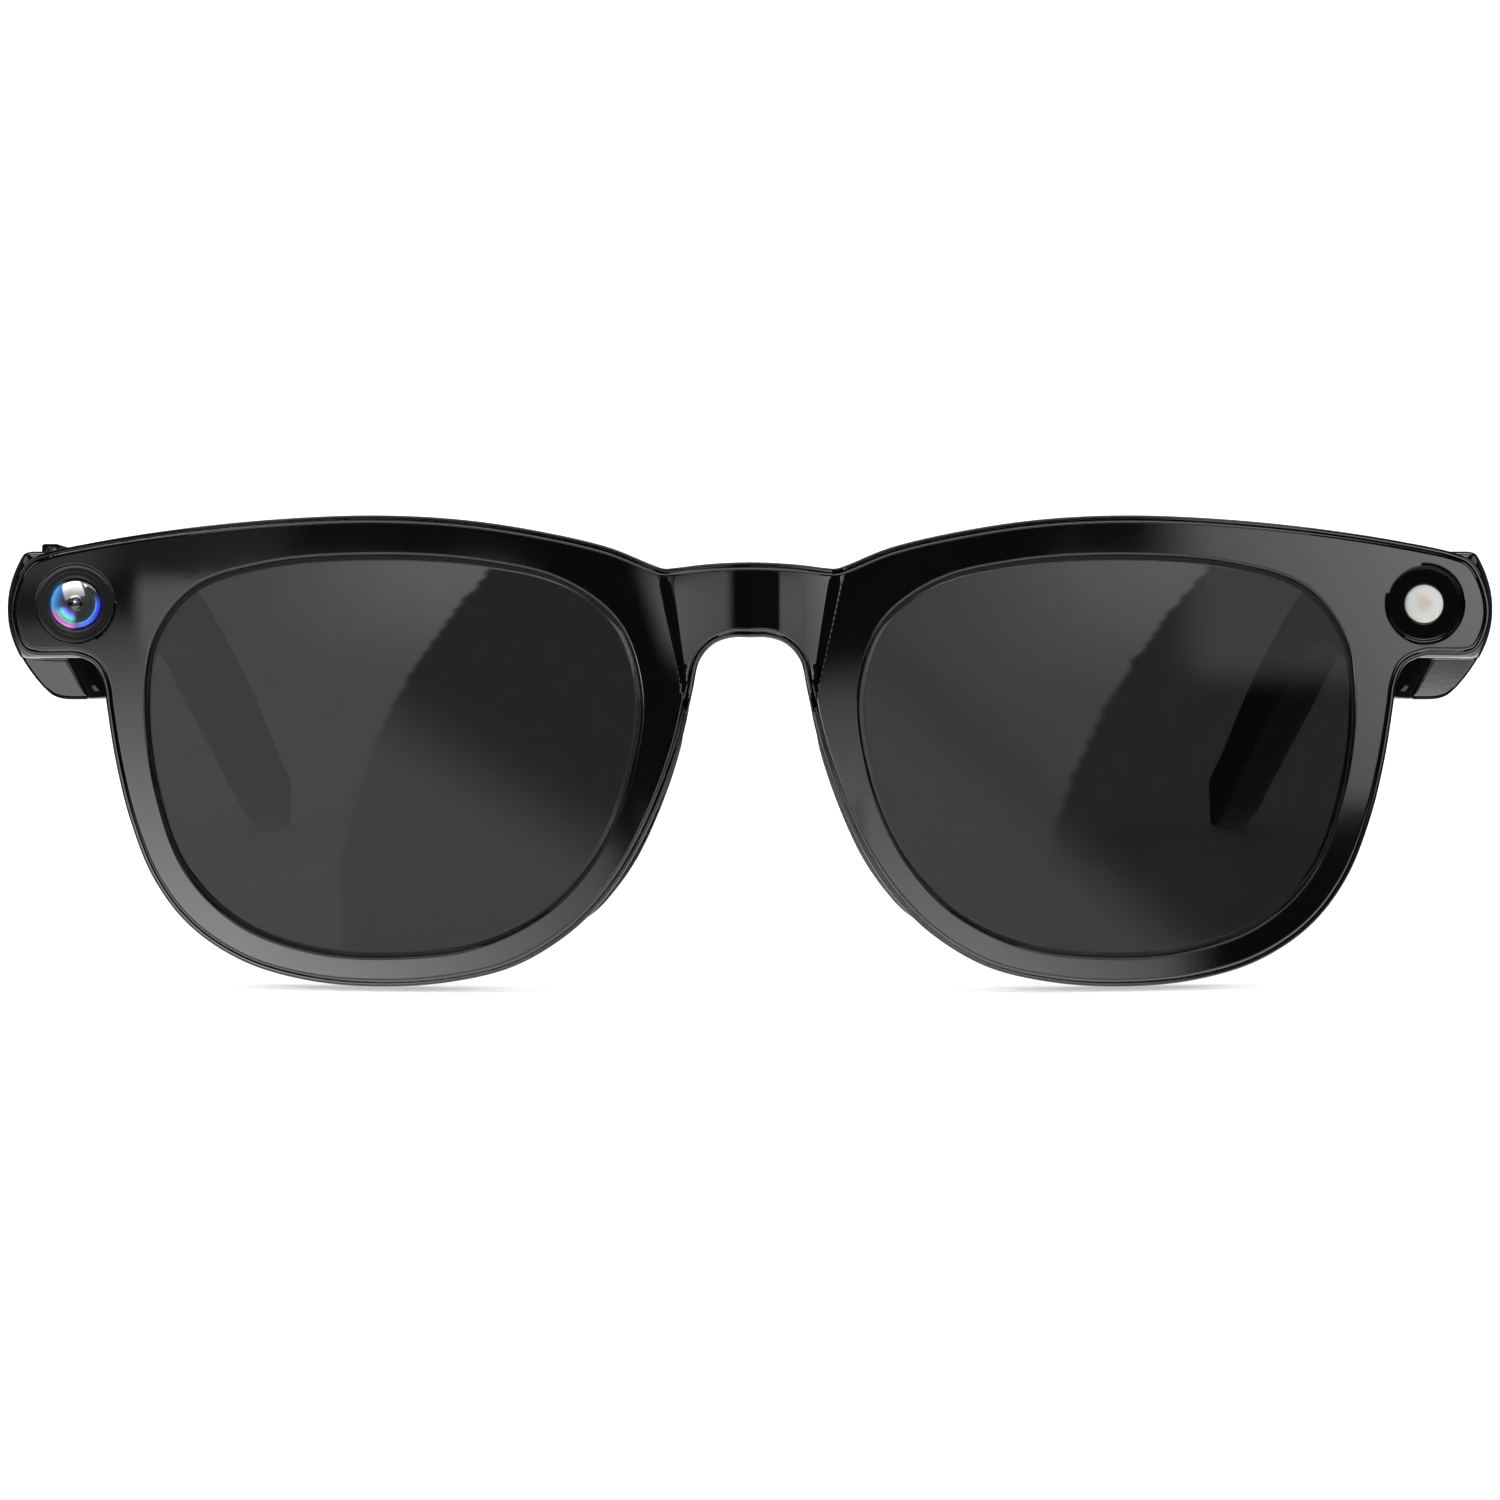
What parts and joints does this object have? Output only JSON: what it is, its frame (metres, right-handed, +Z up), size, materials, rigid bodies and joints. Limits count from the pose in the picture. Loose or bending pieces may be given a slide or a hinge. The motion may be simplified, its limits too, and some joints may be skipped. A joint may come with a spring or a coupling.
{
  "type": "smart glasses",
  "caption": "Black wayfarer-shaped smart glasses, standing open: tinted lenses, camera and lamp in the end pieces, folding temples with electronics inside, and a push button on one temple.",
  "frame": {"origin": "centre of the bounding box at the surface the open glasses stand on, under the middle of the front-to-back length", "axes": "+X to the wearer's left, -Y the way the wearer looks, +Z up; the glasses lean back on their rims and temple tips"},
  "size_m": [0.154, 0.1496, 0.0476],
  "materials": {
    "frame_black": "polished black injection-moulded nylon",
    "fascia_black": "high-gloss black",
    "cover_black": "fine satin black",
    "lens_grey": "dark grey tint, polished",
    "nose_pad_black": "polished black",
    "camera_ring": "black anodised, turned",
    "cover_glass": "clear with blue-violet coating",
    "barrel_black": "matt black, stepped",
    "coated_glass": "coated lens element",
    "board_green": "solder-resist green",
    "lamp_ring": "gloss black",
    "diffuser_white": "frosted translucent white",
    "board_white": "white solder resist",
    "flex_amber": "polyimide film",
    "hinge_steel": "brushed stainless steel",
    "pin_steel": "ground stainless steel",
    "screw_steel": "plated steel",
    "shield_steel": "nickel-plated sheet",
    "cell_foil": "pouch foil",
    "speaker_black": "matt black",
    "mesh_black": "woven mesh, black",
    "switch_body": "ivory plastic",
    "contact_gold": "gold plated",
    "magnet_nickel": "nickel plated",
    "button_black": "black, finely ribbed"
  },
  "bodies": {
    "front": {"front_frame": "frame_black", "front_fascia": "fascia_black", "right_lens": "lens_grey", "left_lens": "lens_grey", "right_nose_pad": "nose_pad_black", "left_nose_pad": "nose_pad_black", "camera_bezel": "camera_ring", "camera_cover_glass": "cover_glass", "camera_barrel": "barrel_black", "camera_lens_element": "coated_glass", "camera_sensor_board": "board_green", "lamp_bezel": "lamp_ring", "lamp_diffuser": "diffuser_white", "lamp_board": "board_white", "front_flex_cable": "flex_amber", "right_hinge_front_leaf": "hinge_steel", "left_hinge_front_leaf": "hinge_steel", "right_hinge_pin": "pin_steel", "left_hinge_pin": "pin_steel", "hinge_front_screws": "screw_steel"},
    "right_temple": {"right_temple_shell": "frame_black", "right_temple_cover": "cover_black", "right_hinge_temple_leaf": "hinge_steel", "right_temple_screws": "screw_steel", "main_board": "board_green", "main_shield_can": "shield_steel", "right_battery": "cell_foil", "right_speaker": "speaker_black", "right_speaker_mesh": "mesh_black", "right_microphone": "shield_steel", "touch_sensor": "flex_amber", "shutter_switch": "switch_body", "charging_contacts": "contact_gold", "charging_magnets": "magnet_nickel", "right_tip_battery": "cell_foil"},
    "shutter_button": {"shutter_button": "button_black"},
    "left_temple": {"left_temple_shell": "frame_black", "left_temple_cover": "cover_black", "left_hinge_temple_leaf": "hinge_steel", "left_temple_screws": "screw_steel", "left_board": "board_green", "left_battery": "cell_foil", "left_speaker": "speaker_black", "left_speaker_mesh": "mesh_black", "left_microphone": "shield_steel", "left_tip_battery": "cell_foil"}
  },
  "joints": [
    {"name": "right_temple_hinge", "type": "hinge", "parent": "front", "child": "right_temple", "pos_m": [-0.0673, -0.05002, 0.0366], "axis": [0, -0.104, -0.9946], "range_deg": [0, 80]},
    {"name": "left_temple_hinge", "type": "hinge", "parent": "front", "child": "left_temple", "pos_m": [0.0673, -0.05002, 0.0366], "axis": [0, 0.104, 0.9946], "range_deg": [0, 90]},
    {"name": "shutter_press", "type": "slide", "parent": "right_temple", "child": "shutter_button", "axis": [0, -0.104, -0.9946], "range_m": [0, 0.0005], "stiffness_N_per_m": 1500}
  ]
}
